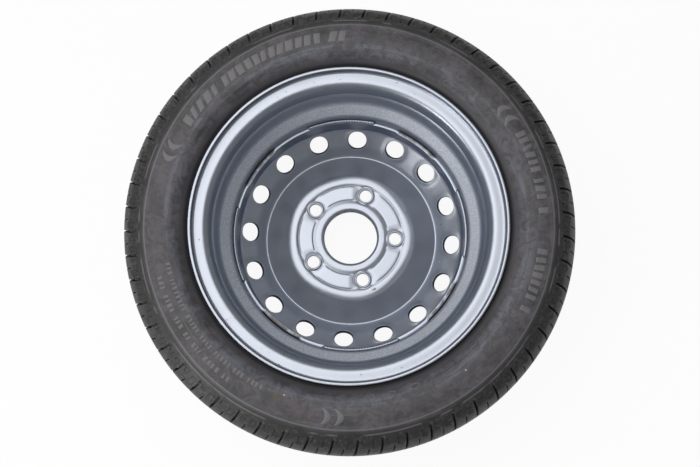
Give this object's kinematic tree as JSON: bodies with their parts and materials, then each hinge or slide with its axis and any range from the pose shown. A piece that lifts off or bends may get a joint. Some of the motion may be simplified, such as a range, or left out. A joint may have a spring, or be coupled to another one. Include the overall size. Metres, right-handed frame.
{
  "type": "wheel and tyre assembly",
  "caption": "Welded steel trailer wheel with vented disc, bolt circle and centre bore, fitted with a low wide tyre and a clamp-in valve; seen from its hub side.",
  "frame": {"origin": "on the wheel's axis, midway between the two rim flanges", "axes": "+Z along the wheel's axis towards the inboard side, where the hub sits; the wheel lies flat on its outboard sidewall"},
  "size_m": [0.5252, 0.525, 0.201],
  "materials": {
    "tyre": "moulded rubber, satin sidewall",
    "wheel_paint": "grey silver coat, satin",
    "weld": "grey silver coat over weld",
    "valve_brass": "turned",
    "valve_nickel": "nickel plated",
    "zinc_steel": "zinc plated",
    "spring_steel": "drawn wire",
    "seal_rubber": "matt"
  },
  "bodies": {
    "wheel": {"tyre": "tyre", "rim": "wheel_paint", "wheel_disc": "wheel_paint", "disc_welds": "weld", "valve_stem": "valve_nickel", "valve_grommet": "seal_rubber", "valve_washer": "zinc_steel", "valve_nut": "valve_nickel", "valve_core": "valve_brass", "valve_core_spring": "spring_steel"},
    "cap": {"valve_cap": "valve_nickel", "valve_cap_seal": "seal_rubber"},
    "core_pin": {"valve_core_pin": "valve_brass", "valve_core_seal": "seal_rubber"}
  },
  "joints": [
    {"name": "cap_unscrew", "type": "slide", "parent": "wheel", "child": "cap", "axis": [-0.4588, -0.29, -0.8399], "range_m": [0, 0.014]},
    {"name": "core_pin_press", "type": "slide", "parent": "wheel", "child": "core_pin", "axis": [0.4588, 0.29, 0.8399], "range_m": [0, 0.0015], "stiffness_N_per_m": 400, "springref_m": -0.001, "deforming": ["valve_core_spring"]}
  ]
}
